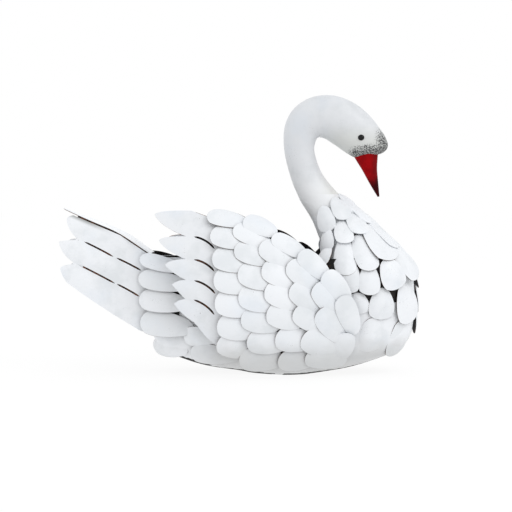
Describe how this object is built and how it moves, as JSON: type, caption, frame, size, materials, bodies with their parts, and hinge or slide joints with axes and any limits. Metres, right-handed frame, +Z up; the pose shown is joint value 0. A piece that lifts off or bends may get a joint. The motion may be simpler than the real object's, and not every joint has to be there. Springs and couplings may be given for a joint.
{
  "type": "sheet-metal swan planter",
  "caption": "Garden planter in the shape of a resting mute swan: an open sheet-metal bowl with a bent neck, raised wings, fanned tail and overlapping dished feathers.",
  "frame": {"origin": "on the floor, below the middle of the planter's overall box", "axes": "+X forward, the way the breast and the bill point; +Y to the swan's left; +Z up"},
  "size_m": [0.7274, 0.3318, 0.5653],
  "materials": {
    "white_paint": "off-white spray paint, satin, with dark cut edges",
    "red_paint": "deep red paint, semi-gloss, blackened at the tip",
    "black_bead": "glossy black bead",
    "dark_steel": "blackened bare steel"
  },
  "bodies": {
    "root": {"trunk": "white_paint", "breast": "white_paint", "neck": "white_paint", "head": "white_paint", "bill": "red_paint", "eye_left": "black_bead", "eye_right": "black_bead", "wing_left": "white_paint", "wing_right": "white_paint", "wing_stay_left_front": "dark_steel", "wing_stay_left_rear": "dark_steel", "wing_stay_right_front": "dark_steel", "wing_stay_right_rear": "dark_steel", "tail_left": "white_paint", "tail_right": "white_paint", "tail_top": "white_paint"}
  },
  "joints": []
}
